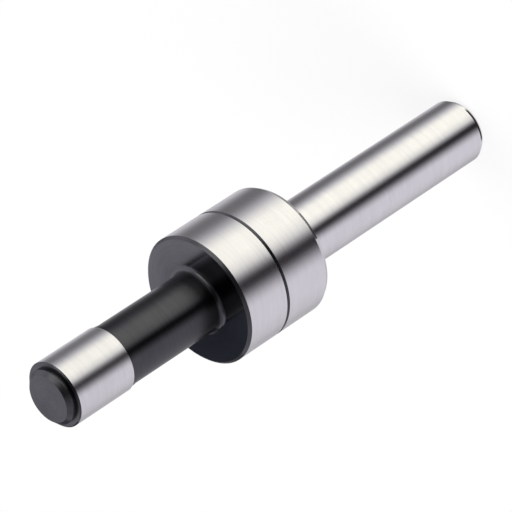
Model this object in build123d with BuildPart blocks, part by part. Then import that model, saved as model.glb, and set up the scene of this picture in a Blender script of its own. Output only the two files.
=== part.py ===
from build123d import *
from math import cos, isclose, pi, radians, sin, sqrt, tan
import os

# Mechanical edge finder, standing on the flat end of its shank with the contact tip up.
# Millimetres. +Z runs along the axis, and the origin is the centre of the shank's end face.

# Shank
shank_diameter = 10.0
shank_length = 40.0
shank_lead_length = 0.95
undercut_width = 1.6
undercut_depth = 0.3

# Collar, split into a half on the shank and a half on the contact
collar_diameter = 20.0
shank_collar_length = 8.5
contact_collar_length = 7.9
collar_back_chamfer = 0.7
collar_front_chamfer = 0.42
seam_chamfer = 0.27
lead_angle = 30.0

# Neck, land and ground ring of the contact
neck_diameter = 9.4
neck_length = 16.7
neck_root_radius = 0.75
land_diameter = 9.56
land_length = 1.0
ring_diameter = 10.0
ring_length = 10.35
ring_front_chamfer = 0.2

# Tip plug
boss_diameter = 8.4
boss_height = 1.17
boss_chamfer = 0.6
spigot_length = 7.9
spigot_chamfer = 0.3
fork_slot_width = 3.0
fork_slot_depth = 4.6
fork_slot_corner_radius = 0.75
hook_pin_diameter = 1.2
hook_pin_inset = 1.8
hook_pin_end_gap = 0.15
hook_pin_chamfer = 0.15

# Bores and lapped faces
spring_bore_diameter = 6.6
bore_mouth_chamfer = 0.4
face_relief_diameter = 12.0
face_relief_depth = 0.25
web_thickness = 3.0
plug_bore_diameter = 6.0
plug_bore_depth = 6.0

# Swivel pin and shank plug
swivel_stem_diameter = 3.0
swivel_running_clearance = 0.05
swivel_head_diameter = 5.0
swivel_head_thickness = 1.5
swivel_head_chamfer = 0.25
shoulder_height = 1.0
eye_height = 2.5
eye_diameter = 1.4
tang_thickness = 1.4
shank_plug_length = 3.5
shank_plug_recess = 0.3
shank_plug_chamfer = 0.3

# Extension spring
wire_diameter = 0.55
coil_outer_diameter = 4.8
coil_turns = 24
hook_leg_length = 10.0
hook_tail_length = 0.8
hook_rise = 1.4
hook_seat_gap = 0.06
chords_per_turn = 12
wire_sides = 5

# Radii
shank_radius = shank_diameter / 2
collar_radius = collar_diameter / 2
neck_radius = neck_diameter / 2
land_radius = land_diameter / 2
ring_radius = ring_diameter / 2
boss_radius = boss_diameter / 2
bore_radius = spring_bore_diameter / 2
plug_bore_radius = plug_bore_diameter / 2
stem_radius = swivel_stem_diameter / 2
hook_pin_radius = hook_pin_diameter / 2
wire_radius = wire_diameter / 2
coil_radius = coil_outer_diameter / 2 - wire_radius
lead_slope = tan(radians(lead_angle))

# Heights along the axis
seam_height = shank_length + shank_collar_length
collar_front_height = seam_height + contact_collar_length
land_height = collar_front_height + neck_length
ring_height = land_height + land_length
tip_face_height = ring_height + ring_length
web_top = plug_bore_depth + web_thickness
eye_centre = web_top + eye_height
fork_end = tip_face_height - spigot_length
hook_pin_height = fork_end + hook_pin_inset

# The lower hook bears on the top of the swivel's eye, and the upper hook goes over the pin.
# A hook's lowest chords slope by half a step, so the wire rises a little on its way through the eye.
chord_angle = 2 * pi / chords_per_turn
eye_rise = tang_thickness / 2 * tan(chord_angle / 2)
lower_hook_bottom = eye_centre + eye_diameter / 2 - wire_radius - eye_rise - hook_seat_gap
upper_hook_top = hook_pin_height + hook_pin_radius + wire_radius + hook_seat_gap
lower_hook_centre = lower_hook_bottom + coil_radius
upper_hook_centre = upper_hook_top - coil_radius
coil_bottom = lower_hook_centre + hook_leg_length + hook_rise
coil_top = upper_hook_centre - hook_leg_length - hook_rise
coil_height = coil_top - coil_bottom
coil_pitch = coil_height / coil_turns

os.makedirs("parts", exist_ok=True)


def rim(part, radius, height):
    """Return the circular edges of a turned part that have this radius and height."""
    circles = part.edges().filter_by(GeomType.CIRCLE)
    return circles.filter_by(
        lambda edge: isclose(edge.radius, radius, abs_tol=1e-4)
        and isclose(edge.center().Z, height, abs_tol=1e-4)
    )


# Shank body: the shank and its half of the collar, with a lead on the end and a grinding undercut
with BuildPart() as shank_body:
    with BuildSketch(Plane.XZ):
        with BuildLine():
            Polyline(
                (0, 0),
                (shank_radius - shank_lead_length * lead_slope, 0),
                (shank_radius, shank_lead_length),
                (shank_radius, shank_length - undercut_width),
                (shank_radius - undercut_depth, shank_length - undercut_width),
                (shank_radius - undercut_depth, shank_length),
                (collar_radius - collar_back_chamfer * lead_slope, shank_length),
                (collar_radius, shank_length + collar_back_chamfer),
                (collar_radius, seam_height - seam_chamfer),
                (collar_radius - seam_chamfer, seam_height),
                (0, seam_height),
                close=True,
            )
        make_face()
    revolve(axis=Axis.Z)
    # The lapped face is relieved round the spring bore, so that it bears near its rim.
    with Locations((0, 0, seam_height)):
        CounterBoreHole(bore_radius, face_relief_diameter / 2, face_relief_depth, seam_height - web_top)
    chamfer(rim(shank_body, bore_radius, seam_height - face_relief_depth), bore_mouth_chamfer)
    # From the other end, a bore for the plug and a hole through the web for the swivel pin.
    with Locations(-Plane.XY):
        CounterBoreHole(stem_radius + swivel_running_clearance, plug_bore_radius, plug_bore_depth, web_top)
    chamfer(rim(shank_body, plug_bore_radius, 0), shank_plug_chamfer)
shank_body.part.label = "shank_body"
export_step(shank_body.part, "parts/shank_body.step")

# Contact body: the other half of the collar, the neck, the land and the ground ring
with BuildPart() as contact_body:
    with BuildSketch(Plane.XZ):
        with BuildLine():
            Polyline(
                (0, seam_height),
                (collar_radius - seam_chamfer, seam_height),
                (collar_radius, seam_height + seam_chamfer),
                (collar_radius, collar_front_height - collar_front_chamfer),
                (collar_radius - collar_front_chamfer, collar_front_height),
                (neck_radius + neck_root_radius, collar_front_height),
            )
            # The root of the neck is a quarter circle.
            Bezier(
                (neck_radius + neck_root_radius, collar_front_height),
                (neck_radius, collar_front_height),
                (neck_radius, collar_front_height + neck_root_radius),
                weights=(1, cos(pi / 4), 1),
            )
            Polyline(
                (neck_radius, collar_front_height + neck_root_radius),
                (neck_radius, land_height),
                (land_radius, land_height),
                (land_radius, ring_height),
                (ring_radius, ring_height),
                (ring_radius, tip_face_height - ring_front_chamfer),
                (ring_radius - ring_front_chamfer, tip_face_height),
                (0, tip_face_height),
                (0, seam_height),
            )
        make_face()
    revolve(axis=Axis.Z)
    with Locations((0, 0, tip_face_height)):
        Hole(bore_radius)
    chamfer(rim(contact_body, bore_radius, seam_height), bore_mouth_chamfer)
contact_body.part.label = "contact_body"
export_step(contact_body.part, "parts/contact_body.step")

# Tip plug: a chamfered boss on the tip's face, and a spigot in the bore that ends in a fork
with BuildPart() as tip_plug:
    with BuildSketch(Plane.XY.offset(tip_face_height)):
        Circle(boss_radius)
    extrude(amount=boss_height)
    chamfer(rim(tip_plug, boss_radius, tip_face_height + boss_height), boss_chamfer)
    with BuildSketch(Plane.XY.offset(fork_end)):
        Circle(bore_radius)
    extrude(amount=spigot_length)
    chamfer(rim(tip_plug, bore_radius, fork_end), spigot_chamfer)
    with BuildSketch(Plane.XZ) as fork_slot:
        with Locations((0, fork_end)):
            Rectangle(fork_slot_width, fork_slot_depth, align=(Align.CENTER, Align.MIN))
        fillet(fork_slot.vertices().group_by(Axis.Y)[-1], fork_slot_corner_radius)
    extrude(amount=bore_radius, both=True, mode=Mode.SUBTRACT)
    with BuildSketch(Plane.YZ):
        with Locations((0, hook_pin_height)):
            Circle(hook_pin_radius)
    extrude(amount=bore_radius, both=True, mode=Mode.SUBTRACT)
tip_plug.part.label = "tip_plug"
export_step(tip_plug.part, "parts/tip_plug.step")

# Hook pin: a short dowel across the fork, for the upper hook of the spring
hook_pin_half_length = sqrt(bore_radius**2 - hook_pin_radius**2) - hook_pin_end_gap
with BuildPart() as hook_pin:
    with BuildSketch(Plane.YZ):
        with Locations((0, hook_pin_height)):
            Circle(hook_pin_radius)
    extrude(amount=hook_pin_half_length, both=True)
    chamfer(hook_pin.edges().filter_by(GeomType.CIRCLE), hook_pin_chamfer)
hook_pin.part.label = "hook_pin"
export_step(hook_pin.part, "parts/hook_pin.step")

# Swivel pin: a head under the web, a stem through it, and a flat tang with an eye above it
with BuildPart() as swivel_pin:
    with BuildSketch(Plane.XY.offset(plug_bore_depth - swivel_head_thickness)):
        Circle(swivel_head_diameter / 2)
    extrude(amount=swivel_head_thickness)
    chamfer(swivel_pin.edges().filter_by(GeomType.CIRCLE), swivel_head_chamfer)
    with BuildSketch(Plane.XY.offset(plug_bore_depth)):
        Circle(stem_radius)
    extrude(amount=web_thickness + shoulder_height)
    with BuildSketch(Plane.XZ):
        with Locations((0, web_top)):
            Rectangle(swivel_stem_diameter, eye_height, align=(Align.CENTER, Align.MIN))
        with Locations((0, eye_centre)):
            Circle(stem_radius)
    extrude(amount=tang_thickness / 2, both=True)
    with BuildSketch(Plane.XZ):
        with Locations((0, eye_centre)):
            Circle(eye_diameter / 2)
    extrude(amount=stem_radius, both=True, mode=Mode.SUBTRACT)
swivel_pin.part.label = "swivel_pin"
export_step(swivel_pin.part, "parts/swivel_pin.step")

# Shank plug: a disc pressed into the end of the shank, just below its face
with BuildPart() as shank_plug:
    with BuildSketch(Plane.XY.offset(shank_plug_recess)):
        Circle(plug_bore_radius)
    extrude(amount=shank_plug_length)
    chamfer(shank_plug.edges().filter_by(GeomType.CIRCLE), shank_plug_chamfer)
shank_plug.part.label = "shank_plug"
export_step(shank_plug.part, "parts/shank_plug.step")

# Tension spring: open coils between two long hooks that lie in the plane X = 0.
# Its wire runs in short chords, from the tail of the lower hook up to the top of the coil.
lower_hook_line = [(0, coil_radius, lower_hook_centre + hook_tail_length)]
for step in range(chords_per_turn // 2 + 1):
    angle = step * chord_angle
    lower_hook_line.append(
        (0, coil_radius * cos(angle), lower_hook_centre - coil_radius * sin(angle))
    )
# The leg stands up beside the axis, and its end bends over into the first turn.
lower_hook_line.append((0, -coil_radius, coil_bottom - hook_rise))
for step in range(1, chords_per_turn // 4):
    angle = step * chord_angle
    still_to_rise = (1 - angle / (pi / 2)) ** 2
    lower_hook_line.append(
        (coil_radius * sin(angle), -coil_radius * cos(angle), coil_bottom - hook_rise * still_to_rise)
    )
coil_line = []
for step in range(coil_turns * chords_per_turn + 1):
    angle = step * chord_angle
    height = coil_bottom + coil_pitch * step / chords_per_turn
    coil_line.append((coil_radius * cos(angle), coil_radius * sin(angle), height))
# The upper hook is the lower one turned over about the middle of the coil.
upper_hook_line = [(x, -y, coil_bottom + coil_top - z) for x, y, z in reversed(lower_hook_line)]

with BuildPart() as tension_spring:
    with BuildLine() as wire_line:
        Polyline(*lower_hook_line, *coil_line, *upper_hook_line)
    with BuildSketch(Plane(origin=wire_line.line @ 0, z_dir=wire_line.line % 0)):
        RegularPolygon(wire_radius, wire_sides)
    sweep(path=wire_line.wires()[0], transition=Transition.RIGHT)
tension_spring.part.label = "tension_spring"
export_step(tension_spring.part, "parts/tension_spring.step")
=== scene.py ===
"""The finished look of a mechanical edge finder, standing on its shank in a plain white studio."""

import logging
import math
from collections.abc import Iterable, Sequence
from dataclasses import dataclass, replace
from enum import Enum
from typing import ClassVar

import bpy
from mathutils import Matrix, Vector


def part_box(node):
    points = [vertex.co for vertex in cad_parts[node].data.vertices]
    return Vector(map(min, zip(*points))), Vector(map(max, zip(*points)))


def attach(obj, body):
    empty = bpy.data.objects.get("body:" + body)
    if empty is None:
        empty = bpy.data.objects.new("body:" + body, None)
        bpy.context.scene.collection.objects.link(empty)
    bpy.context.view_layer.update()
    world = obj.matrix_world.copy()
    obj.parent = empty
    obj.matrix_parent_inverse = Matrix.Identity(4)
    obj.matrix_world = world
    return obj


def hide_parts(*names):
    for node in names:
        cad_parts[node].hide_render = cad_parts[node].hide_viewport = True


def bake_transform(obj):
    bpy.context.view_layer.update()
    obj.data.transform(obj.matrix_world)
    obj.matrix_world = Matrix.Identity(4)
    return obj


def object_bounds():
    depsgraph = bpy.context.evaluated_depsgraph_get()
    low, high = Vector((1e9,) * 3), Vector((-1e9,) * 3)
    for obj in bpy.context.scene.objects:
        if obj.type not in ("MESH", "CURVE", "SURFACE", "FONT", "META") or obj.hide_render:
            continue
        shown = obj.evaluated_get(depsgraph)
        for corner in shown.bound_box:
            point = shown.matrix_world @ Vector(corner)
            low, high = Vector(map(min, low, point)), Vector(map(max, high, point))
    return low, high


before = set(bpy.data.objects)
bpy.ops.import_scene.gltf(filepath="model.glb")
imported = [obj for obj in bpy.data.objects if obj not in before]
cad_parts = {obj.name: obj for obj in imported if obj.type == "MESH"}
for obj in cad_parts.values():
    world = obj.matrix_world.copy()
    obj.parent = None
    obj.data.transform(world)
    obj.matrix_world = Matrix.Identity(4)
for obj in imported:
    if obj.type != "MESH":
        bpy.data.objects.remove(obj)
CAD_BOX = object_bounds()

MM = 0.001
CREASE = math.radians(40.0)
Colour = tuple[float, float, float]
Tone = Colour | bpy.types.NodeSocket
Point = tuple[float, float, float]
FlatPoint = tuple[float, float]
WHITE: Colour = (1.0, 1.0, 1.0)

log = logging.getLogger("edge_finder")


class Body(Enum):
    """The parts of the tool that move against each other."""

    SHANK = "shank"
    SWIVEL = "swivel"
    SPRING = "spring"
    CONTACT = "contact"


class Node(Enum):
    """The solids of the tool."""

    SHANK_BODY = "shank_body"
    SHANK_PLUG = "shank_plug"
    CONTACT_BODY = "contact_body"
    TIP_PLUG = "tip_plug"
    HOOK_PIN = "hook_pin"
    SWIVEL_PIN = "swivel_pin"
    TENSION_SPRING = "tension_spring"

    @property
    def low(self) -> float:
        """Return the height of the solid's lowest point, in metres."""
        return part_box(self.value)[0].z

    @property
    def high(self) -> float:
        """Return the height of the solid's highest point, in metres."""
        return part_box(self.value)[1].z


class Slot(Enum):
    """Names of material slots for turned steel, black oxide and spring wire, which nothing here uses."""

    TURNED_STEEL = "turned_steel"
    BLACK_OXIDE = "black_oxide"
    SPRING_WIRE = "spring_wire"


class Surface(Enum):
    """How one band of a turned piece is finished."""

    GROUND = "ground"
    OXIDE = "oxide"
    FACED_OXIDE = "faced oxide"
    SATIN_OXIDE = "satin oxide"
    LAPPED = "lapped"


class Signal:
    """A number that comes out of a shader node, and that Python's operators work on."""

    def __init__(self, graph: "Graph", socket: bpy.types.NodeSocket) -> None:
        """Keep the graph and the socket that the number comes from."""
        self.graph = graph
        self.socket = socket

    def __add__(self, other: "Signal | float") -> "Signal":
        """Return self + other."""
        return self.graph.maths("ADD", self, other)

    def __sub__(self, other: "Signal | float") -> "Signal":
        """Return self - other."""
        return self.graph.maths("SUBTRACT", self, other)

    def __rsub__(self, other: "Signal | float") -> "Signal":
        """Return other - self."""
        return self.graph.maths("SUBTRACT", other, self)

    def __mul__(self, other: "Signal | float") -> "Signal":
        """Return self * other."""
        return self.graph.maths("MULTIPLY", self, other)

    def __truediv__(self, other: "Signal | float") -> "Signal":
        """Return self / other."""
        return self.graph.maths("DIVIDE", self, other)

    def __rtruediv__(self, other: "Signal | float") -> "Signal":
        """Return other / self."""
        return self.graph.maths("DIVIDE", other, self)

    __radd__ = __add__
    __rmul__ = __mul__


class Graph:
    """The nodes of one material or of the world, made from Python expressions."""

    def __init__(self, tree: bpy.types.NodeTree) -> None:
        """Start from an empty tree."""
        self.tree = tree
        self.tree.nodes.clear()

    def node(
        self,
        kind: str,
        settings: dict[str, object] | None = None,
        sockets: dict[str | int, object] | None = None,
    ) -> bpy.types.Node:
        """Add a node.

        Args:
            kind: The node's type.
            settings: The node's own properties, which are set first.
            sockets: A value, a Signal or another node's output for each named or numbered input.

        Returns:
            The node.
        """
        made = self.tree.nodes.new(kind)
        for name, value in (settings or {}).items():
            setattr(made, name, value)
        for name, value in (sockets or {}).items():
            self.feed(made.inputs[name], value)
        return made

    def feed(self, target: bpy.types.NodeSocket, value: object) -> None:
        """Link or set one input.

        Args:
            target: The input.
            value: A Signal, a socket, a number or a colour.
        """
        if isinstance(value, Signal):
            value = value.socket
        if isinstance(value, bpy.types.NodeSocket):
            self.tree.links.new(value, target)
        elif target.type == "RGBA":
            target.default_value = (*value, 1.0)
        else:
            target.default_value = value

    def maths(self, operation: str, *terms: Signal | float) -> Signal:
        """Return the outcome of one Math node.

        Args:
            operation: The Math node's operation.
            terms: Its inputs, in order.

        Returns:
            The number that comes out.
        """
        made = self.node("ShaderNodeMath", {"operation": operation}, dict(enumerate(terms)))
        return Signal(self, made.outputs[0])

    def smooth(self, value: Signal, start: float, end: float) -> Signal:
        """Return a soft step of a signal.

        Args:
            value: The signal.
            start: Where the step is 0.
            end: Where the step is 1.

        Returns:
            The step.
        """
        made = self.node(
            "ShaderNodeMapRange",
            {"interpolation_type": "SMOOTHSTEP"},
            {"Value": value, "From Min": start, "From Max": end},
        )
        return Signal(self, made.outputs["Result"])

    def blend(self, amount: Signal | float, first: Tone, second: Tone) -> bpy.types.NodeSocket:
        """Return a mix of two colours.

        Args:
            amount: 0 for the first colour, 1 for the second.
            first: A colour or the output of a node.
            second: A colour or the output of a node.

        Returns:
            The mixed colour.
        """
        made = self.node("ShaderNodeMix", {"data_type": "RGBA"}, {0: amount, 6: first, 7: second})
        return made.outputs[2]

    def place(self) -> tuple[Signal, Signal, Signal]:
        """Return where the surface point is on its own piece.

        Returns:
            Its X, Y and Z, in millimetres.
        """
        coordinates = self.node("ShaderNodeTexCoord")
        split = self.node("ShaderNodeSeparateXYZ", sockets={0: coordinates.outputs["Object"]})
        x, y, z = (Signal(self, output) / MM for output in split.outputs)
        return x, y, z

    def from_axis(self, x: Signal, y: Signal) -> Signal:
        """Return how far a place is from the axis."""
        return self.maths("SQRT", x * x + y * y)

    def noise(self, x: Signal, y: Signal, z: Signal, detail: float = 2.0) -> Signal:
        """Return a cloudy pattern from 0 to 1, as fine as its three coordinates.

        Args:
            x: The first coordinate.
            y: The second coordinate.
            z: The third coordinate.
            detail: How many finer layers the pattern has.

        Returns:
            The pattern.
        """
        point = self.node("ShaderNodeCombineXYZ", sockets={0: x, 1: y, 2: z})
        made = self.node(
            "ShaderNodeTexNoise",
            sockets={"Vector": point.outputs[0], "Scale": 1.0, "Detail": detail},
        )
        return Signal(self, made.outputs[0])

    def show(self, shader: bpy.types.NodeSocket, output: str = "ShaderNodeOutputMaterial") -> None:
        """Put a shader on the surface.

        Args:
            shader: The shader's output.
            output: The type of the node that ends the tree.
        """
        self.node(output, sockets={"Surface": shader})


def material_graph(name: str) -> tuple[bpy.types.Material, Graph]:
    """Start a material.

    Args:
        name: The material's name.

    Returns:
        The material and its empty graph.
    """
    made = bpy.data.materials.new(name)
    made.use_nodes = True
    return made, Graph(made.node_tree)


@dataclass(frozen=True)
class ToolMarks:
    """Fine lines that run round the axis, on a cylinder as on a turned face."""

    around_per_mm: float
    across_per_mm: float

    def pattern(self, graph: Graph) -> Signal:
        """Return the lines.

        Args:
            graph: The finish's graph.

        Returns:
            A pattern from 0 to 1.
        """
        x, y, z = graph.place()
        along = graph.from_axis(x, y) + z
        return graph.noise(x * self.around_per_mm, y * self.around_per_mm, along * self.across_per_mm)


@dataclass(frozen=True)
class SteelFinish:
    """Steel with fine tool marks and a faint cloudiness.

    The spread is how far the marks and the clouds move the roughness. The stretch is how much more the
    marks, which run round the axis, blur a reflection along the axis than round it. The outward
    dulling is how much duller the steel is at a wide rim than near the axis.
    """

    across_the_marks: ClassVar[float] = 0.25
    inner_mm: ClassVar[float] = 4.5
    rim_mm: ClassVar[float] = 10.5
    fine_share: ClassVar[float] = 0.35
    broad_share: ClassVar[float] = 0.4
    cloud_share: ClassVar[float] = 0.25

    name: str
    colour: Colour
    dull_colour: Colour
    roughness: float
    roughness_spread: float
    stretch: float
    marks: ToolMarks
    broad_marks: ToolMarks
    cloud_per_mm: float
    mark_height_mm: float
    outward_dulling: float = 0.0

    def material(self) -> bpy.types.Material:
        """Make the finish.

        Returns:
            The material.
        """
        made, graph = material_graph(self.name)
        fine = self.marks.pattern(graph)
        broad = self.broad_marks.pattern(graph)
        x, y, z = graph.place()
        clouds = graph.noise(x * self.cloud_per_mm, y * self.cloud_per_mm, z * self.cloud_per_mm)
        outward = graph.smooth(graph.from_axis(x, y), self.inner_mm, self.rim_mm) * self.outward_dulling
        uneven = fine * self.fine_share + broad * self.broad_share + clouds * self.cloud_share + outward
        bump = graph.node(
            "ShaderNodeBump",
            sockets={"Strength": 1.0, "Distance": self.mark_height_mm * MM, "Height": fine},
        )
        steel = graph.node(
            "ShaderNodeBsdfPrincipled",
            sockets={
                "Base Color": graph.blend(uneven, self.colour, self.dull_colour),
                "Metallic": 1.0,
                "Roughness": self.roughness + (uneven - 0.5) * self.roughness_spread,
                "Anisotropic": self.stretch,
                "Anisotropic Rotation": self.across_the_marks,
                "Normal": bump.outputs[0],
            },
        )
        graph.show(steel.outputs[0])
        return made


GROUND_STEEL = SteelFinish(
    name="ground_steel",
    colour=(0.8, 0.795, 0.785),
    dull_colour=(0.63, 0.625, 0.62),
    roughness=0.215,
    roughness_spread=0.16,
    stretch=0.72,
    marks=ToolMarks(around_per_mm=0.25, across_per_mm=11.0),
    broad_marks=ToolMarks(around_per_mm=0.14, across_per_mm=2.4),
    cloud_per_mm=0.35,
    mark_height_mm=0.0006,
)

BLACK_OXIDE = SteelFinish(
    name="black_oxide_steel",
    colour=(0.04, 0.041, 0.045),
    dull_colour=(0.114, 0.114, 0.12),
    roughness=0.23,
    roughness_spread=0.15,
    stretch=0.9,
    marks=ToolMarks(around_per_mm=0.3, across_per_mm=12.0),
    broad_marks=ToolMarks(around_per_mm=0.15, across_per_mm=2.5),
    cloud_per_mm=0.3,
    mark_height_mm=0.0004,
    outward_dulling=0.35,
)

FACED_OXIDE = replace(
    BLACK_OXIDE, name="black_oxide_on_a_fine_face", roughness=0.12, roughness_spread=0.06, stretch=0.45
)

SATIN_OXIDE = replace(
    BLACK_OXIDE,
    name="satin_black_oxide",
    colour=(0.05, 0.05, 0.054),
    dull_colour=(0.128, 0.129, 0.136),
    roughness=0.33,
    roughness_spread=0.12,
    stretch=0.25,
    cloud_per_mm=1.1,
)

LAPPED_STEEL = SteelFinish(
    name="lapped_steel",
    colour=(0.7, 0.7, 0.7),
    dull_colour=(0.62, 0.62, 0.625),
    roughness=0.26,
    roughness_spread=0.1,
    stretch=0.3,
    marks=ToolMarks(around_per_mm=1.6, across_per_mm=6.0),
    broad_marks=ToolMarks(around_per_mm=0.6, across_per_mm=1.5),
    cloud_per_mm=0.8,
    mark_height_mm=0.0005,
)

PIN_STEEL = SteelFinish(
    name="bright_pin_steel",
    colour=(0.6, 0.6, 0.6),
    dull_colour=(0.52, 0.52, 0.525),
    roughness=0.3,
    roughness_spread=0.1,
    stretch=0.5,
    marks=ToolMarks(around_per_mm=0.5, across_per_mm=9.0),
    broad_marks=ToolMarks(around_per_mm=0.4, across_per_mm=2.0),
    cloud_per_mm=0.6,
    mark_height_mm=0.0008,
)

SPRING_WIRE = SteelFinish(
    name="drawn_spring_wire",
    colour=(0.44, 0.44, 0.45),
    dull_colour=(0.36, 0.36, 0.365),
    roughness=0.34,
    roughness_spread=0.14,
    stretch=0.0,
    marks=ToolMarks(around_per_mm=1.2, across_per_mm=4.0),
    broad_marks=ToolMarks(around_per_mm=0.6, across_per_mm=1.0),
    cloud_per_mm=0.5,
    mark_height_mm=0.0008,
)


class Finishes:
    """The materials of the tool, each made once."""

    def __init__(self) -> None:
        """Make every material."""
        self.surfaces = {
            Surface.GROUND: GROUND_STEEL.material(),
            Surface.OXIDE: BLACK_OXIDE.material(),
            Surface.FACED_OXIDE: FACED_OXIDE.material(),
            Surface.SATIN_OXIDE: SATIN_OXIDE.material(),
            Surface.LAPPED: LAPPED_STEEL.material(),
        }
        self.pin = PIN_STEEL.material()
        self.wire = SPRING_WIRE.material()


@dataclass(frozen=True)
class Station:
    """One ring of a turned mesh, and the surface of the band that follows it. Sizes are in millimetres."""

    radius: float
    height: float
    surface: Surface


@dataclass(frozen=True)
class Corner(Station):
    """One corner of a turned outline."""

    rounding: float = 0.04
    steps: int = 4


def circle(radius: float, count: int) -> list[FlatPoint]:
    """Return points round a circle.

    Args:
        radius: The circle's radius.
        count: How many points it has.

    Returns:
        The points.
    """
    angles = [2 * math.pi * turn / count for turn in range(count)]
    return [(radius * math.cos(angle), radius * math.sin(angle)) for angle in angles]


def ring_faces(rings: int, count: int) -> list[tuple[int, ...]]:
    """Return the faces that join rings of points.

    Args:
        rings: How many rings there are.
        count: How many points each ring has.

    Returns:
        The faces, ring by ring.
    """
    return [
        (low + turn, low + (turn + 1) % count, low + count + (turn + 1) % count, low + count + turn)
        for low in range(0, (rings - 1) * count, count)
        for turn in range(count)
    ]


def new_mesh(
    name: str,
    points: Sequence[Point | Vector],
    faces: Sequence[Sequence[int]],
    materials: Iterable[bpy.types.Material] = (),
) -> bpy.types.Mesh:
    """Make a mesh.

    Args:
        name: The mesh's name.
        points: Its points, in metres.
        faces: Its faces.
        materials: The materials of its slots.

    Returns:
        The mesh.
    """
    made = bpy.data.meshes.new(name)
    made.from_pydata(points, [], faces)
    for material in materials:
        made.materials.append(material)
    return made


def shade_smooth(mesh: bpy.types.Mesh) -> None:
    """Shade a mesh smooth, apart from its sharp edges."""
    mesh.polygons.foreach_set("use_smooth", [True] * len(mesh.polygons))
    mesh.set_sharp_from_angle(angle=CREASE)


class TurnedOutline:
    """The outline of a turned piece, spun round the axis into a mesh.

    The corners go round the section with the metal on their left. An outline that starts and ends on
    the axis stays open there, and any other is closed.
    """

    segments: int = 288
    longest_reach: float = 0.4
    support_share: float = 0.35
    longest_support: float = 0.1

    def __init__(self, corners: Sequence[Corner]) -> None:
        """Keep the corners."""
        self.corners = list(corners)
        self.on_axis = self.corners[0].radius == 0.0

    def stations(self) -> list[Station]:
        """Round each corner between two support rings.

        Returns:
            The rings of the mesh.
        """
        rings: list[Station] = []
        count = len(self.corners)
        for index, corner in enumerate(self.corners):
            before = self.corners[index - 1]
            after = self.corners[(index + 1) % count]
            if self.on_axis and index in (0, count - 1):
                rings.append(corner)
            else:
                rings.extend(self.rounded(before, corner, after))
        return rings

    def rounded(self, before: Corner, corner: Corner, after: Corner) -> list[Station]:
        """Return the rings of one rounded corner.

        Args:
            before: The corner before it.
            corner: The corner.
            after: The corner after it.

        Returns:
            The support ring, the rings of the arc, and the second support ring.
        """
        here = Vector((corner.radius, corner.height))
        back = Vector((before.radius, before.height)) - here
        ahead = Vector((after.radius, after.height)) - here
        half_opening = back.angle(ahead) / 2
        shorter = min(back.length, ahead.length)
        reach = min(corner.rounding / math.tan(half_opening), self.longest_reach * shorter)
        radius = reach * math.tan(half_opening)
        bisector = (back.normalized() + ahead.normalized()).normalized()
        centre = here + bisector * (radius / math.sin(half_opening))
        first = here + back.normalized() * reach
        last = here + ahead.normalized() * reach
        support = min(self.support_share * reach, self.longest_support * shorter)
        points = [first + back.normalized() * support]
        for step in range(corner.steps + 1):
            chord = first.lerp(last, step / corner.steps) - centre
            points.append(centre + chord.normalized() * radius)
        points.append(last + ahead.normalized() * support)
        middle = len(points) // 2
        return [
            Station(point.x, point.y, before.surface if place < middle else corner.surface)
            for place, point in enumerate(points)
        ]

    def mesh(self, name: str, finishes: Finishes) -> bpy.types.Mesh:
        """Spin the outline into a mesh.

        Args:
            name: The mesh's name.
            finishes: The materials for its bands.

        Returns:
            The mesh.
        """
        rings = self.stations()
        used = sorted({ring.surface for ring in rings}, key=lambda surface: surface.value)
        points: list[Point] = []
        starts: list[int] = []
        for ring in rings:
            starts.append(len(points))
            around = circle(ring.radius, self.segments) if ring.radius else [(0.0, 0.0)]
            points.extend((x * MM, y * MM, ring.height * MM) for x, y in around)
        faces: list[tuple[int, ...]] = []
        slots: list[int] = []
        bands = len(rings) - 1 if self.on_axis else len(rings)
        for band in range(bands):
            low, high = rings[band], rings[(band + 1) % len(rings)]
            low_start, high_start = starts[band], starts[(band + 1) % len(rings)]
            for turn in range(self.segments):
                following = (turn + 1) % self.segments
                face = [low_start + turn, low_start + following, high_start + following, high_start + turn]
                if low.radius == 0.0:
                    face = [low_start, high_start + following, high_start + turn]
                elif high.radius == 0.0:
                    face = [low_start + turn, low_start + following, high_start]
                faces.append(tuple(face))
                slots.append(used.index(low.surface))
        made = new_mesh(name, points, faces, [finishes.surfaces[surface] for surface in used])
        made.polygons.foreach_set("material_index", slots)
        shade_smooth(made)
        made.validate()
        made.update()
        return made

    def piece(self, name: str, finishes: Finishes) -> bpy.types.Object:
        """Return the turned piece, put into the scene."""
        return add_piece(name, self.mesh(name, finishes))


def add_piece(name: str, mesh: bpy.types.Mesh) -> bpy.types.Object:
    """Put a mesh into the scene.

    Args:
        name: The object's name.
        mesh: The mesh.

    Returns:
        The object.
    """
    made = bpy.data.objects.new(name, mesh)
    bpy.context.scene.collection.objects.link(made)
    return made


def stand_for(piece: bpy.types.Object, node: Node, body: Body) -> None:
    """Let a piece take the place of a solid.

    Args:
        piece: The piece.
        node: The solid that it stands for.
        body: The body that it moves with.
    """
    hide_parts(node.value)
    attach(piece, body.value)
    log.info("%s rides on %s", piece.name, body.value)


def dress_solid(node: Node, material: bpy.types.Material) -> None:
    """Give a solid that stays in view its finish.

    Args:
        node: The solid.
        material: Its material.
    """
    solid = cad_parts[node.value]
    solid.data.materials.clear()
    solid.data.materials.append(material)
    log.info("%s keeps its solid", node.value)


@dataclass
class CollarHalf:
    """What the two halves of the collar share. Sizes are in millimetres."""

    collar_radius: float = 10.0
    seam_chamfer: float = 0.27
    lap_gap: float = 0.005
    bore_radius: float = 3.3
    bore_mouth: float = 0.4


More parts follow.
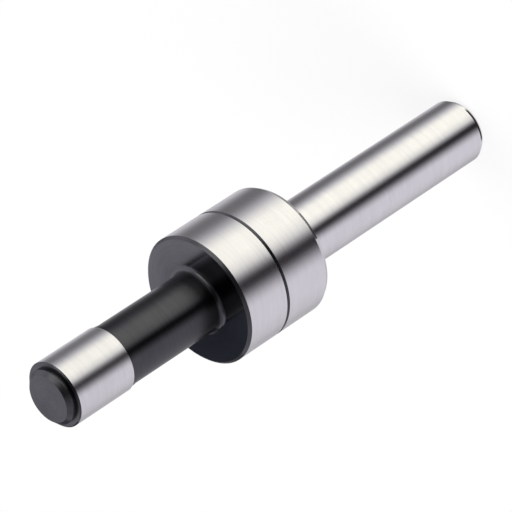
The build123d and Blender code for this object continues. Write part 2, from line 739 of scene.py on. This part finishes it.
@dataclass
class Shank(CollarHalf):
    """The shank with its half of the collar, and the plug in its end. Sizes are in millimetres."""

    shank_radius: float = 5.0
    lead_radius: float = 4.4515
    lead_length: float = 0.95
    undercut_radius: float = 4.7
    undercut_width: float = 1.6
    undercut_rounding: float = 0.2
    collar_length: float = 8.5
    back_face_radius: float = 9.596
    back_chamfer: float = 0.7
    relief_radius: float = 6.0
    relief_depth: float = 0.25
    web_low: float = 6.0
    web_high: float = 9.0
    swivel_hole_radius: float = 1.55
    plug_bore_radius: float = 3.0
    plug_bore_mouth: float = 0.3
    plug_chamfer: float = 0.3
    plug_gap: float = 0.01

    def body_outline(self) -> TurnedOutline:
        """Draw the shank body.

        Returns:
            Its outline, up the outside and down the bores.
        """
        seam = Node.SHANK_BODY.high / MM
        lap = seam - self.lap_gap
        collar = seam - self.collar_length
        relief = seam - self.relief_depth
        oxide, ground = Surface.OXIDE, Surface.GROUND
        corners = [
            Corner(self.lead_radius, 0.0, ground),
            Corner(self.shank_radius, self.lead_length, ground),
            Corner(self.shank_radius, collar - self.undercut_width, oxide),
            Corner(self.undercut_radius, collar - self.undercut_width, oxide),
            Corner(self.undercut_radius, collar, oxide, rounding=self.undercut_rounding),
            Corner(self.back_face_radius, collar, ground),
            Corner(self.collar_radius, collar + self.back_chamfer, ground),
            Corner(self.collar_radius, seam - self.seam_chamfer, oxide),
            Corner(self.collar_radius - self.seam_chamfer, lap, Surface.LAPPED),
            Corner(self.relief_radius, lap, oxide),
            Corner(self.relief_radius, relief, oxide),
            Corner(self.bore_radius + self.bore_mouth, relief, oxide),
            Corner(self.bore_radius, relief - self.bore_mouth, oxide),
            Corner(self.bore_radius, self.web_high, oxide),
            Corner(self.swivel_hole_radius, self.web_high, oxide),
            Corner(self.swivel_hole_radius, self.web_low, oxide),
            Corner(self.plug_bore_radius, self.web_low, oxide),
            Corner(self.plug_bore_radius, self.plug_bore_mouth, oxide),
            Corner(self.plug_bore_radius + self.plug_bore_mouth, 0.0, oxide),
        ]
        return TurnedOutline(corners)

    def plug_outline(self) -> TurnedOutline:
        """Draw the shank plug.

        Returns:
            Its outline.
        """
        low, high = Node.SHANK_PLUG.low / MM, Node.SHANK_PLUG.high / MM
        radius = self.plug_bore_radius - self.plug_gap
        oxide = Surface.SATIN_OXIDE
        corners = [
            Corner(0.0, low, oxide),
            Corner(radius - self.plug_chamfer, low, oxide),
            Corner(radius, low + self.plug_chamfer, oxide),
            Corner(radius, high - self.plug_chamfer, oxide),
            Corner(radius - self.plug_chamfer, high, oxide),
            Corner(0.0, high, oxide),
        ]
        return TurnedOutline(corners)

    def build(self, finishes: Finishes) -> None:
        """Make and dress the shank body and its plug.

        Args:
            finishes: The materials.
        """
        body = self.body_outline().piece("shank_and_collar", finishes)
        stand_for(body, Node.SHANK_BODY, Body.SHANK)
        plug = self.plug_outline().piece("shank_end_plug", finishes)
        stand_for(plug, Node.SHANK_PLUG, Body.SHANK)


@dataclass
class Contact(CollarHalf):
    """The contact, its half of the collar, its tip plug and the hook pin. Sizes are in millimetres."""

    collar_length: float = 7.9
    front_chamfer: float = 0.42
    neck_radius: float = 4.7
    neck_root: float = 0.75
    neck_root_steps: int = 10
    land_radius: float = 4.78
    land_length: float = 1.0
    ring_radius: float = 5.0
    ring_length: float = 10.35
    ring_chamfer: float = 0.2
    boss_radius: float = 4.2
    boss_chamfer: float = 0.6
    spigot_gap: float = 0.01
    spigot_chamfer: float = 0.3
    fork_slot_width: float = 3.0
    fork_slot_depth: float = 4.6
    fork_slot_corner: float = 0.75
    corner_steps: int = 8
    pin_hole_radius: float = 0.6
    pin_hole_sides: int = 48
    cutter_overhang: float = 1.0

    def body_outline(self) -> TurnedOutline:
        """Draw the contact body.

        Returns:
            Its outline, up the outside and down the bore.
        """
        seam, tip = Node.CONTACT_BODY.low / MM, Node.CONTACT_BODY.high / MM
        lap = seam + self.lap_gap
        front = seam + self.collar_length
        ring = tip - self.ring_length
        land = ring - self.land_length
        oxide, ground = Surface.OXIDE, Surface.GROUND
        corners = [
            Corner(self.bore_radius + self.bore_mouth, lap, Surface.LAPPED),
            Corner(self.collar_radius - self.seam_chamfer, lap, oxide),
            Corner(self.collar_radius, seam + self.seam_chamfer, ground),
            Corner(self.collar_radius, front - self.front_chamfer, oxide),
            Corner(self.collar_radius - self.front_chamfer, front, Surface.FACED_OXIDE),
            Corner(self.neck_radius, front, oxide, self.neck_root, self.neck_root_steps),
            Corner(self.neck_radius, land, oxide),
            Corner(self.land_radius, land, oxide),
            Corner(self.land_radius, ring, oxide),
            Corner(self.ring_radius, ring, ground),
            Corner(self.ring_radius, tip - self.ring_chamfer, oxide),
            Corner(self.ring_radius - self.ring_chamfer, tip, oxide),
            Corner(self.bore_radius, tip, oxide),
            Corner(self.bore_radius, seam + self.bore_mouth, oxide),
        ]
        return TurnedOutline(corners)

    def plug_outline(self) -> TurnedOutline:
        """Draw the tip plug before its fork is cut.

        Returns:
            Its outline.
        """
        tip, top, end = Node.CONTACT_BODY.high / MM, Node.TIP_PLUG.high / MM, Node.TIP_PLUG.low / MM
        spigot = self.bore_radius - self.spigot_gap
        oxide = Surface.SATIN_OXIDE
        corners = [
            Corner(0.0, end, oxide),
            Corner(spigot - self.spigot_chamfer, end, oxide),
            Corner(spigot, end + self.spigot_chamfer, oxide),
            Corner(spigot, tip, oxide),
            Corner(self.boss_radius, tip, oxide),
            Corner(self.boss_radius, top - self.boss_chamfer, oxide),
            Corner(self.boss_radius - self.boss_chamfer, top, oxide),
            Corner(0.0, top, oxide),
        ]
        return TurnedOutline(corners)

    def fork_slot(self) -> list[Point]:
        """Draw the slot across the spigot.

        Returns:
            Its outline in the plane of X and Z.
        """
        end, half = Node.TIP_PLUG.low / MM, self.fork_slot_width / 2
        reach = half - self.fork_slot_corner
        top = end + self.fork_slot_depth - self.fork_slot_corner
        points = [(x, 0.0, end - self.cutter_overhang) for x in (-half, half)]
        for centre, first_angle in ((reach, 0.0), (-reach, 90.0)):
            for step in range(self.corner_steps + 1):
                angle = math.radians(first_angle + 90.0 * step / self.corner_steps)
                x = centre + math.cos(angle) * self.fork_slot_corner
                points.append((x, 0.0, top + math.sin(angle) * self.fork_slot_corner))
        return points

    def pin_hole(self) -> list[Point]:
        """Draw the hole for the hook pin.

        Returns:
            Its outline in the plane of Y and Z.
        """
        middle = (Node.HOOK_PIN.low + Node.HOOK_PIN.high) / 2 / MM
        return [(0.0, y, middle + z) for y, z in circle(self.pin_hole_radius, self.pin_hole_sides)]

    def build(self, finishes: Finishes) -> None:
        """Make and dress the contact body, the tip plug and the hook pin.

        Args:
            finishes: The materials.
        """
        body = self.body_outline().piece("contact_and_collar", finishes)
        stand_for(body, Node.CONTACT_BODY, Body.CONTACT)
        plug = self.plug_outline().piece("tip_end_plug", finishes)
        half_length = self.bore_radius + self.cutter_overhang
        slot = prism("fork_cutter", self.fork_slot(), Vector((0.0, half_length, 0.0)))
        hole = prism("pin_cutter", self.pin_hole(), Vector((half_length, 0.0, 0.0)))
        cut(plug, [slot, hole])
        stand_for(plug, Node.TIP_PLUG, Body.CONTACT)
        dress_solid(Node.HOOK_PIN, finishes.pin)


def prism(name: str, outline: Iterable[Point], half: Vector) -> bpy.types.Object:
    """Make a straight-sided cutter.

    Args:
        name: The cutter's name.
        outline: The points of its middle section, in millimetres.
        half: From the middle section to one end.

    Returns:
        The cutter.
    """
    middle = [Vector(point) for point in outline]
    count = len(middle)
    points = [(point + side * half) * MM for side in (-1, 1) for point in middle]
    ends = [tuple(reversed(range(count))), tuple(range(count, 2 * count))]
    return add_piece(name, new_mesh(name, points, ends + ring_faces(2, count)))


def cut(piece: bpy.types.Object, cutters: Iterable[bpy.types.Object]) -> None:
    """Cut shapes out of a piece, and remove the cutters.

    Args:
        piece: The piece.
        cutters: The shapes.
    """
    material = piece.data.materials[0]
    for cutter in cutters:
        cutter.data.materials.append(material)
        modifier = piece.modifiers.new(cutter.name, "BOOLEAN")
        modifier.operation = "DIFFERENCE"
        modifier.solver = "EXACT"
        modifier.object = cutter
        evaluated = piece.evaluated_get(bpy.context.evaluated_depsgraph_get())
        mesh = bpy.data.meshes.new_from_object(evaluated)
        piece.modifiers.remove(modifier)
        piece.data = mesh
        bpy.data.objects.remove(cutter)
    piece.data.set_sharp_from_angle(angle=CREASE)


@dataclass
class TensionSpring:
    """The extension spring, its wire drawn round and smooth. Sizes are in millimetres."""

    wire_radius: float = 0.275
    coil_radius: float = 2.125
    turns: int = 24
    leg_length: float = 10.0
    tail_length: float = 0.8
    rise: float = 1.4
    leg_steps: int = 8
    steps_per_turn: int = 48
    sides: int = 14

    def line(self) -> list[Vector]:
        """Draw the middle line of the wire.

        Returns:
            Its points, from the lower hook's tail to the upper hook's, in millimetres.
        """
        low = Node.TENSION_SPRING.low / MM + self.wire_radius
        high = Node.TENSION_SPRING.high / MM - self.wire_radius
        radius, step_angle = self.coil_radius, 2 * math.pi / self.steps_per_turn
        centre = low + radius
        coil_low = centre + self.leg_length + self.rise
        coil_high = low + high - coil_low
        hook = [Vector((0.0, radius, centre + self.tail_length))]
        for step in range(self.steps_per_turn // 2 + 1):
            angle = step * step_angle
            hook.append(Vector((0.0, radius * math.cos(angle), centre - radius * math.sin(angle))))
        leg_top = coil_low - self.rise
        for step in range(1, self.leg_steps + 1):
            hook.append(Vector((0.0, -radius, centre + (leg_top - centre) * step / self.leg_steps)))
        quarter = self.steps_per_turn // 4
        for step in range(1, quarter):
            angle = step * step_angle
            height = coil_low - self.rise * (1 - step / quarter) ** 2
            hook.append(Vector((radius * math.sin(angle), -radius * math.cos(angle), height)))
        coil = []
        for step in range(self.turns * self.steps_per_turn + 1):
            angle = step * step_angle
            height = coil_low + (coil_high - coil_low) * step / (self.turns * self.steps_per_turn)
            coil.append(Vector((radius * math.cos(angle), radius * math.sin(angle), height)))
        turned_over = [Vector((point.x, -point.y, low + high - point.z)) for point in reversed(hook)]
        return hook + coil + turned_over

    def mesh(self, material: bpy.types.Material) -> bpy.types.Mesh:
        """Return the wire as a round tube with closed ends.

        Args:
            material: The wire's material.

        Returns:
            The mesh.
        """
        line = self.line()
        points: list[Vector] = []
        across = Vector((1.0, 0.0, 0.0))
        for index, here in enumerate(line):
            before, after = line[max(index - 1, 0)], line[min(index + 1, len(line) - 1)]
            ahead = (after - before).normalized()
            across = (across - ahead * across.dot(ahead)).normalized()
            beside = ahead.cross(across)
            for a, b in circle(self.wire_radius, self.sides):
                points.append((here + across * a + beside * b) * MM)
        first_end = tuple(reversed(range(self.sides)))
        last_end = tuple(range(len(points) - self.sides, len(points)))
        faces = [*ring_faces(len(line), self.sides), first_end, last_end]
        made = new_mesh("spring_wire", points, faces, [material])
        shade_smooth(made)
        made.update()
        return made

    def build(self, finishes: Finishes) -> None:
        """Make the spring, which runs between the swivel and the contact.

        Args:
            finishes: The materials.
        """
        wire = add_piece("round_wire_spring", self.mesh(finishes.wire))
        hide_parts(Node.TENSION_SPRING.value)
        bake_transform(wire)
        log.info("%s stretches from %s to %s", wire.name, Body.SWIVEL.value, Body.SPRING.value)


@dataclass
class Swivel:
    """The headed eye pin that the spring's lower hook goes through."""

    def build(self, finishes: Finishes) -> None:
        """Dress the pin."""
        dress_solid(Node.SWIVEL_PIN, finishes.pin)


@dataclass(frozen=True)
class ToneZone:
    """A span of bearings with a tone of its own, soft at both ends.

    Bearings are in degrees from the camera's side, growing towards the lower right of its picture.
    """

    centre: float
    half_width: float
    fade_before: float
    fade_after: float
    tone: Colour

    def mask(self, graph: Graph, bearing: Signal) -> Signal:
        """Return 1 inside the span and 0 away from it.

        Args:
            graph: The reflector's graph.
            bearing: The bearing, in degrees.

        Returns:
            The mask.
        """
        offset = graph.maths("WRAP", bearing - self.centre, 180.0, -180.0)
        rise = graph.smooth(offset, -self.half_width - self.fade_before, -self.half_width)
        fall = graph.smooth(offset, self.half_width, self.half_width + self.fade_after)
        return rise * (1 - fall)


@dataclass(frozen=True)
class Panorama:
    """Tones all round the tool: one of its own, with zones laid over it."""

    base: Colour
    zones: tuple[ToneZone, ...]

    def tone(self, graph: Graph, bearing: Signal) -> Tone:
        """Return the tone at a bearing.

        Args:
            graph: The reflector's graph.
            bearing: The bearing, in degrees.

        Returns:
            The tone.
        """
        tone: Tone = self.base
        for zone in self.zones:
            tone = graph.blend(zone.mask(graph, bearing), tone, zone.tone)
        return tone


def reflections_only(piece: bpy.types.Object) -> None:
    """Let a part of the studio show in reflections, and nowhere else.

    Args:
        piece: The part of the studio.
    """
    piece.visible_camera = False
    piece.visible_diffuse = False
    piece.visible_shadow = False


@dataclass(frozen=True)
class SkyBand:
    """Tones that take over from those below them between two elevations, in degrees."""

    start: float
    end: float
    tones: Panorama


TABLE_TONES = Panorama(
    base=(0.68, 0.67, 0.72),
    zones=(
        ToneZone(154.0, 12.0, 26.0, 14.0, (0.53, 0.52, 0.56)),
        ToneZone(62.0, 20.0, 22.0, 50.0, (0.82, 0.795, 0.89)),
        ToneZone(-106.0, 6.0, 38.0, 35.0, (0.19, 0.185, 0.2)),
        ToneZone(-37.0, 11.0, 32.0, 42.0, (1.36, 1.33, 1.25)),
        ToneZone(19.8, 1.6, 23.0, 37.0, (0.028, 0.023, 0.029)),
    ),
)

LOW_SKY = Panorama(
    base=(0.6, 0.585, 0.64),
    zones=(
        ToneZone(-170.0, 58.0, 20.0, 22.0, (1.08, 1.05, 1.15)),
        ToneZone(14.0, 16.0, 50.0, 30.0, (0.05, 0.048, 0.056)),
    ),
)

HIGH_SKY = Panorama(
    base=(1.02, 0.99, 1.1),
    zones=(
        ToneZone(-62.0, 20.0, 26.0, 26.0, (2.5, 2.45, 2.38)),
        ToneZone(62.0, 22.0, 20.0, 30.0, (0.55, 0.54, 0.58)),
        ToneZone(14.0, 14.0, 38.0, 26.0, (0.08, 0.075, 0.09)),
    ),
)

TOP_SKY = Panorama(
    base=(0.25, 0.25, 0.26),
    zones=(ToneZone(4.0, 24.0, 24.0, 30.0, (0.07, 0.07, 0.075)),),
)


@dataclass
class ReflectorTent:
    """A light tent round the tool, seen only in its reflections. Sizes are in metres.

    The turned surfaces mirror it, so its tones are the light and dark stripes along them. The higher a
    place on the tool, the farther out on the table is what it mirrors, so the start_mm and end_mm
    fields are distances from the axis.
    """

    inner_radius: float = 0.0046
    lift: float = 0.0002
    radius: float = 0.6
    centre_height: float = 0.05
    top_gap_rad: float = 0.002
    segments: int = 96
    steps: int = 24
    dim_room: float = 0.35
    dim_start_deg: float = -17.0
    dim_end_deg: float = -6.0
    sky: tuple[SkyBand, ...] = (
        SkyBand(-2.0, 16.0, LOW_SKY),
        SkyBand(39.0, 44.0, HIGH_SKY),
        SkyBand(48.0, 58.0, TOP_SKY),
    )
    # The shade is a painted contact shadow on the table round the shank's foot, which the chamfer at the
    # shank's end mirrors.
    shade: ToneZone = ToneZone(9.0, 29.0, 10.0, 12.0, (0.02, 0.02, 0.022))
    ray_offset_mm: float = 2.5
    closest_mm: float = 4.0
    bearing_share: float = 0.97
    near_share: float = 0.907
    near_turn_deg: float = 3.8
    near_end_mm: float = 50.0
    far_start_mm: float = 60.0
    tip_turn_deg: float = 4.8
    tip_start_mm: float = 84.0
    tip_end_mm: float = 94.0
    ring_lift: float = 0.06
    ring_start_mm: float = 103.0
    ring_end_mm: float = 109.0
    shade_radius_mm: float = 5.25
    shade_fade_mm: float = 0.4

    def outline(self) -> list[FlatPoint]:
        """Draw the tent's section.

        Returns:
            The radius and height of each ring.
        """
        points = [(self.inner_radius, self.lift)]
        lowest = -math.asin((self.centre_height - self.lift) / self.radius)
        for step in range(self.steps + 1):
            angle = lowest + (math.pi / 2 - self.top_gap_rad - lowest) * step / self.steps
            height = self.centre_height + self.radius * math.sin(angle)
            points.append((self.radius * math.cos(angle), height))
        return points

    def material(self) -> bpy.types.Material:
        """Make the tent's glow, toned by bearing and by height.

        Returns:
            The material.
        """
        made, graph = material_graph("reflector_tent")
        x, y, z = graph.place()
        across = graph.from_axis(x, y)
        bearing = graph.maths("ARCTAN2", 0 - x, 0 - y) * math.degrees(1.0)
        # A ray that the shank mirrors leaves from its side, so close by it lands at a smaller bearing.
        side = 1 - self.ray_offset_mm / graph.maths("MAXIMUM", across, self.closest_mm)
        far = graph.smooth(across, self.near_end_mm, self.far_start_mm)
        share = self.near_share + far * (self.bearing_share - self.near_share)
        tip = graph.smooth(across, self.tip_start_mm, self.tip_end_mm)
        # The bearings stop at the tent's back, where the tones would otherwise start over.
        spread = graph.node("ShaderNodeClamp", sockets={0: bearing * share / side, 1: -180.0, 2: 180.0})
        turn = (1 - far) * self.near_turn_deg + tip * self.tip_turn_deg
        mirrored = Signal(graph, spread.outputs[0]) + turn
        rise = z - self.centre_height / MM
        elevation = graph.maths("ARCTAN2", rise, across) * math.degrees(1.0)
        dimming = graph.smooth(elevation, self.dim_start_deg, self.dim_end_deg) * (1.0 - self.dim_room)
        lift = graph.smooth(across, self.ring_start_mm, self.ring_end_mm) * self.ring_lift
        lifted = graph.blend(lift, TABLE_TONES.tone(graph, mirrored), TABLE_TONES.base)
        table = graph.blend(dimming, lifted, (0.0, 0.0, 0.0))
        # Painted contact shadow round the shank's foot, dark in the shank's end chamfer.
        near = 1 - graph.smooth(across, self.shade_radius_mm, self.shade_radius_mm + self.shade_fade_mm)
        tone = graph.blend(near * self.shade.mask(graph, bearing), table, self.shade.tone)
        for band in self.sky:
            above = graph.smooth(elevation, band.start, band.end)
            tone = graph.blend(above, tone, band.tones.tone(graph, bearing))
        glow = graph.node("ShaderNodeEmission", sockets={"Color": tone, "Strength": 1.0})
        graph.show(glow.outputs[0])
        return made

    def build(self) -> None:
        """Make the tent, and hide it from all but reflections."""
        section = self.outline()
        points = [(x, y, height) for radius, height in section for x, y in circle(radius, self.segments)]
        faces = ring_faces(len(section), self.segments)
        mesh = new_mesh("reflector_tent", points, faces, [self.material()])
        reflections_only(add_piece("reflector_tent", mesh))
        log.info("reflector tent stands round the tool")


@dataclass
class DarkCard:
    """A flat dark card that shows only in reflections."""

    mottle_per_mm: ClassVar[float] = 0.02
    mottle_share: ClassVar[float] = 0.9

    name: str
    tone: Colour

    def build(self, corners: Sequence[Point]) -> None:
        """Set the card up.

        Args:
            corners: The card's corners in order, in metres.
        """
        made, graph = material_graph(self.name)
        # The card's glow is a painted dark tone, seen only in reflections, with a faint mottle.
        mottle = graph.noise(*(part * self.mottle_per_mm for part in graph.place()))
        mottled_tone = graph.blend(mottle, self.tone, tuple(self.mottle_share * part for part in self.tone))
        glow = graph.node("ShaderNodeEmission", sockets={"Color": mottled_tone, "Strength": 1.0})
        graph.show(glow.outputs[0])
        mesh = new_mesh(self.name, corners, [range(len(corners))], [made])
        reflections_only(add_piece(self.name, mesh))
        log.info("%s set", self.name)


@dataclass
class UprightCard:
    """A dark card behind the tool, which the collar's front face mirrors. Sizes are in metres."""

    name: str
    distance: float
    left: float
    right: float
    low: float
    high: float
    tone: Colour

    def build(self) -> None:
        """Set the card up."""
        lower = [(x, self.distance, self.low) for x in (self.left, self.right)]
        upper = [(x, self.distance, self.high) for x in (self.right, self.left)]
        DarkCard(self.name, self.tone).build(lower + upper)


BACK_CARD = UprightCard(
    "back_card", distance=0.05, left=-0.06, right=0.0, low=0.062, high=0.108, tone=(0.135, 0.148, 0.195)
)

# A painted reflection: it widens the neck's dark mirror image in front of the neck.
NARROW_CARD = UprightCard(
    "narrow_card", distance=0.012, left=0.0, right=0.0055, low=0.065, high=0.0745, tone=(0.05, 0.05, 0.055)
)


@dataclass
class CollarShadeCard:
    """A small dark card close under the collar, which the chamfer at its back mirrors. It is painted shade:
    the dark under the collar, seen in that chamfer.
    """

    drop_mm: float = 2.0
    inner_mm: float = 7.8
    outer_mm: float = 9.9
    first_deg: float = -18.0
    last_deg: float = 13.0
    steps: int = 12
    tone: Colour = (0.04, 0.04, 0.045)

    def build(self, collar: float) -> None:
        """Set the card up.

        Args:
            collar: The height of the collar's back face, in metres.
        """
        bearings = [
            math.radians(self.first_deg + (self.last_deg - self.first_deg) * step / self.steps)
            for step in range(self.steps + 1)
        ]
        rim = [(self.outer_mm, bearing) for bearing in bearings]
        rim += [(self.inner_mm, bearing) for bearing in reversed(bearings)]
        height = collar - self.drop_mm * MM
        corners = [(-r * math.sin(b) * MM, -r * math.cos(b) * MM, height) for r, b in rim]
        DarkCard("collar_shade_card", self.tone).build(corners)


@dataclass
class StudioFloor:
    """A plain pale floor that shows white, and keeps a part of the tool's shadow, with sizes in metres."""

    half_width: float = 3.0
    drop: float = 0.00003
    colour: Colour = (0.9, 0.9, 0.9)
    plain_white: float = 0.8

    def build(self) -> None:
        """Make the floor."""
        near = [(x, -self.half_width, -self.drop) for x in (-self.half_width, self.half_width)]
        away = [(x, self.half_width, -self.drop) for x in (self.half_width, -self.half_width)]
        made, graph = material_graph("pale_floor")
        paper = graph.node("ShaderNodeBsdfDiffuse", sockets={"Color": self.colour})
        glow = graph.node("ShaderNodeEmission", sockets={"Color": WHITE, "Strength": 1.0})
        seen = seen_directly(graph) * self.plain_white
        mixed = graph.node("ShaderNodeMixShader", sockets={0: seen, 1: paper.outputs[0], 2: glow.outputs[0]})
        graph.show(mixed.outputs[0])
        mesh = new_mesh("studio_floor", near + away, [range(4)], [made])
        add_piece("studio_floor", mesh)
        log.info("studio floor laid")


def seen_directly(graph: Graph) -> Signal:
    """Tell what is seen, straight or in a reflection, from what only lights the scene.

    Args:
        graph: The graph of the floor or the world.

    Returns:
        1 for what is seen, and 0 for the rest.
    """
    path = graph.node("ShaderNodeLightPath")
    camera, glossy, through = (
        Signal(graph, path.outputs[name])
        for name in ("Is Camera Ray", "Is Glossy Ray", "Is Transmission Ray")
    )
    return graph.maths("MINIMUM", camera + glossy + through, 1.0)


@dataclass
class StudioWorld:
    """White all round where it is seen, and a soft even light elsewhere."""

    ambient: float = 0.55

    def build(self) -> None:
        """Make the world."""
        world = bpy.data.worlds.new("white_studio")
        world.use_nodes = True
        graph = Graph(world.node_tree)
        strength = self.ambient + seen_directly(graph) * (1.0 - self.ambient)
        sky = graph.node("ShaderNodeBackground", sockets={"Color": WHITE, "Strength": strength})
        graph.show(sky.outputs[0], "ShaderNodeOutputWorld")
        bpy.context.scene.world = world
        log.info("white studio set")


@dataclass
class SoftLamp:
    """A square soft lamp that looks at the middle of the tool. Sizes are in metres."""

    name: str
    place: Point
    width: float
    power: float

    def build(self, target: Vector) -> None:
        """Hang the lamp.

        Args:
            target: The point that it looks at.
        """
        lamp = bpy.data.lights.new(self.name, "AREA")
        lamp.size = self.width
        lamp.energy = self.power
        hung = bpy.data.objects.new(self.name, lamp)
        hung.location = self.place
        hung.rotation_euler = (target - hung.location).to_track_quat("-Z", "Y").to_euler()
        hung.visible_camera = False
        hung.visible_glossy = False
        bpy.context.scene.collection.objects.link(hung)
        log.info("%s hung", self.name)


KEY_LAMP = SoftLamp("key_lamp", place=(-0.5, -0.4, 0.9), width=0.7, power=7.0)
FILL_LAMP = SoftLamp("fill_lamp", place=(0.7, 0.3, 0.7), width=0.9, power=4.0)


@dataclass
class PictureCamera:
    """The camera of the picture: it looks down on the standing tool, and is rolled far to one side.

    Sizes are in metres where their names don't say otherwise.
    """

    aim: Point = (0.000805, 0.0, 0.043749)
    distance: float = 0.524383
    elevation_deg: float = 35.709
    roll_deg: float = -123.245
    focal_length_mm: float = 261.05
    sensor_mm: float = 36.0
    nearest: float = 0.01
    farthest: float = 20.0

    def build(self) -> None:
        """Make the scene's camera."""
        lens = bpy.data.cameras.new("picture_camera")
        lens.lens = self.focal_length_mm
        lens.sensor_width = self.sensor_mm
        lens.clip_start = self.nearest
        lens.clip_end = self.farthest
        elevation, roll = math.radians(self.elevation_deg), math.radians(self.roll_deg)
        level = Vector((1.0, 0.0, 0.0))
        upright = Vector((0.0, math.sin(elevation), math.cos(elevation)))
        back = Vector((0.0, -math.cos(elevation), math.sin(elevation)))
        right = level * math.cos(roll) + upright * math.sin(roll)
        up = upright * math.cos(roll) - level * math.sin(roll)
        camera = bpy.data.objects.new("picture_camera", lens)
        turned = Matrix((right, up, back)).transposed().to_4x4()
        camera.matrix_world = Matrix.Translation(Vector(self.aim) + back * self.distance) @ turned
        bpy.context.scene.collection.objects.link(camera)
        bpy.context.scene.camera = camera
        log.info("camera set")


def main() -> None:
    """Build the tool and its studio in order."""
    logging.basicConfig(level=logging.INFO, format="%(name)s: %(message)s")
    bpy.context.scene.view_settings.view_transform = "Standard"
    finishes = Finishes()
    Shank().build(finishes)
    Contact().build(finishes)
    Swivel().build(finishes)
    TensionSpring().build(finishes)
    StudioFloor().build()
    ReflectorTent().build()
    for card in (BACK_CARD, NARROW_CARD):
        card.build()
    CollarShadeCard().build(Node.SHANK_BODY.high - Shank.collar_length * MM)
    StudioWorld().build()
    middle = (CAD_BOX[0] + CAD_BOX[1]) / 2
    for lamp in (KEY_LAMP, FILL_LAMP):
        lamp.build(middle)
    PictureCamera().build()


if __name__ == "__main__":
    main()
